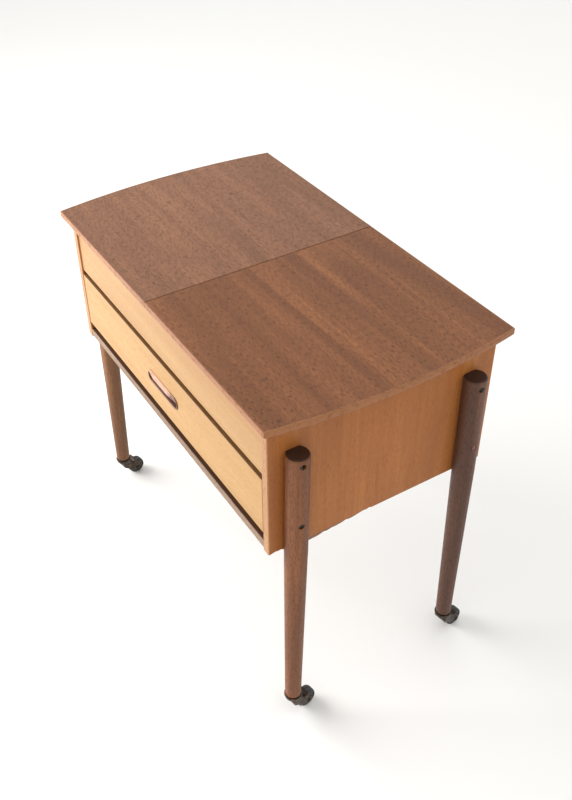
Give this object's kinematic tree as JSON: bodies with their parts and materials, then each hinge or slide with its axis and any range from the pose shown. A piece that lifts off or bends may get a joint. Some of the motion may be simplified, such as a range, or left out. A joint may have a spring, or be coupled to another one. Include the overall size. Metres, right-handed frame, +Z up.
{
  "type": "sewing table on casters",
  "caption": "Teak sewing table on casters: split sliding top over divided trays, a drawer with a hollowed oval pull, round tapered legs outside the end panels.",
  "frame": {"origin": "on the floor under the middle of the top", "axes": "+Z up, +X along the length of the top, -Y is the drawer side"},
  "size_m": [0.632, 0.37, 0.58],
  "materials": {
    "beech": "planed beech",
    "bronze": "dark bronzed",
    "hub_plastic": "dark moulded",
    "plywood": "thin birch plywood",
    "screw_steel": "blued steel",
    "teak_front": "light teak veneer",
    "teak_leg": "turned solid teak",
    "teak_side": "teak veneer, grain upright",
    "teak_solid": "carved solid teak",
    "teak_top": "oiled teak veneer",
    "tyre": "worn black rubber"
  },
  "bodies": {
    "case": {"end_panel_left": "teak_side", "end_panel_right": "teak_side", "apron_panel": "teak_front", "back_panel": "teak_side", "bottom_board": "teak_side", "dust_shelf": "plywood", "top_rail_front": "beech", "top_rail_back": "beech", "tray_ledge_front": "beech", "tray_ledge_back": "beech", "drawer_runner_left": "beech", "drawer_runner_right": "beech", "leg_front_left": "teak_leg", "leg_front_right": "teak_leg", "leg_back_left": "teak_leg", "leg_back_right": "teak_leg", "leg_screws": "screw_steel", "caster_socket_front_left": "bronze", "caster_socket_front_right": "bronze", "caster_socket_back_left": "bronze", "caster_socket_back_right": "bronze"},
    "lid_left_half": {"lid_left": "teak_top", "lid_runner_left_front": "beech", "lid_runner_left_back": "beech", "lid_screws_left": "screw_steel"},
    "lid_right_half": {"lid_right": "teak_top", "lid_runner_right_front": "beech", "lid_runner_right_back": "beech", "lid_screws_right": "screw_steel"},
    "drawer": {"drawer_front": "teak_front", "drawer_side_left": "beech", "drawer_side_right": "beech", "drawer_back": "beech", "drawer_floor": "plywood", "drawer_dividers": "beech", "drawer_pull": "teak_solid"},
    "tray_left": {"tray_left_rim": "beech", "tray_left_floor": "plywood", "tray_left_dividers": "beech"},
    "tray_right": {"tray_right_rim": "beech", "tray_right_floor": "plywood", "tray_right_dividers": "beech", "spool_pegs": "beech"},
    "caster_front_left": {"caster_horn_front_left": "bronze", "caster_axle_front_left": "bronze"},
    "wheel_front_left": {"caster_hub_front_left": "hub_plastic", "caster_tyre_front_left": "tyre"},
    "caster_front_right": {"caster_horn_front_right": "bronze", "caster_axle_front_right": "bronze"},
    "wheel_front_right": {"caster_hub_front_right": "hub_plastic", "caster_tyre_front_right": "tyre"},
    "caster_back_left": {"caster_horn_back_left": "bronze", "caster_axle_back_left": "bronze"},
    "wheel_back_left": {"caster_hub_back_left": "hub_plastic", "caster_tyre_back_left": "tyre"},
    "caster_back_right": {"caster_horn_back_right": "bronze", "caster_axle_back_right": "bronze"},
    "wheel_back_right": {"caster_hub_back_right": "hub_plastic", "caster_tyre_back_right": "tyre"}
  },
  "joints": [
    {"name": "lid_left_slide", "type": "slide", "parent": "case", "child": "lid_left_half", "axis": [-1, 0, 0], "range_m": [0, 0.135]},
    {"name": "lid_right_slide", "type": "slide", "parent": "case", "child": "lid_right_half", "axis": [1, 0, 0], "range_m": [0, 0.135]},
    {"name": "drawer_slide", "type": "slide", "parent": "case", "child": "drawer", "axis": [0, -1, 0], "range_m": [0, 0.23]},
    {"name": "tray_left_slide", "type": "slide", "parent": "case", "child": "tray_left", "axis": [1, 0, 0], "range_m": [0, 0.09]},
    {"name": "tray_right_slide", "type": "slide", "parent": "case", "child": "tray_right", "axis": [-1, 0, 0], "range_m": [0, 0.09]},
    {"name": "caster_swivel_front_left", "type": "hinge", "parent": "case", "child": "caster_front_left", "pos_m": [-0.298, -0.1443, 0.04], "axis": [0, 0, 1], "continuous": true},
    {"name": "wheel_spin_front_left", "type": "hinge", "parent": "caster_front_left", "child": "wheel_front_left", "pos_m": [-0.30217, -0.12066, 0.015], "axis": [0.9848, 0.1736, 0], "continuous": true},
    {"name": "caster_swivel_front_right", "type": "hinge", "parent": "case", "child": "caster_front_right", "pos_m": [0.298, -0.1443, 0.04], "axis": [0, 0, 1], "continuous": true},
    {"name": "wheel_spin_front_right", "type": "hinge", "parent": "caster_front_right", "child": "wheel_front_right", "pos_m": [0.29383, -0.12066, 0.015], "axis": [0.9848, 0.1736, 0], "continuous": true},
    {"name": "caster_swivel_back_left", "type": "hinge", "parent": "case", "child": "caster_back_left", "pos_m": [-0.298, 0.1382, 0.04], "axis": [0, 0, 1], "continuous": true},
    {"name": "wheel_spin_back_left", "type": "hinge", "parent": "caster_back_left", "child": "wheel_back_left", "pos_m": [-0.30217, 0.16184, 0.015], "axis": [0.9848, 0.1736, 0], "continuous": true},
    {"name": "caster_swivel_back_right", "type": "hinge", "parent": "case", "child": "caster_back_right", "pos_m": [0.298, 0.1382, 0.04], "axis": [0, 0, 1], "continuous": true},
    {"name": "wheel_spin_back_right", "type": "hinge", "parent": "caster_back_right", "child": "wheel_back_right", "pos_m": [0.29383, 0.16184, 0.015], "axis": [0.9848, 0.1736, 0], "continuous": true}
  ]
}
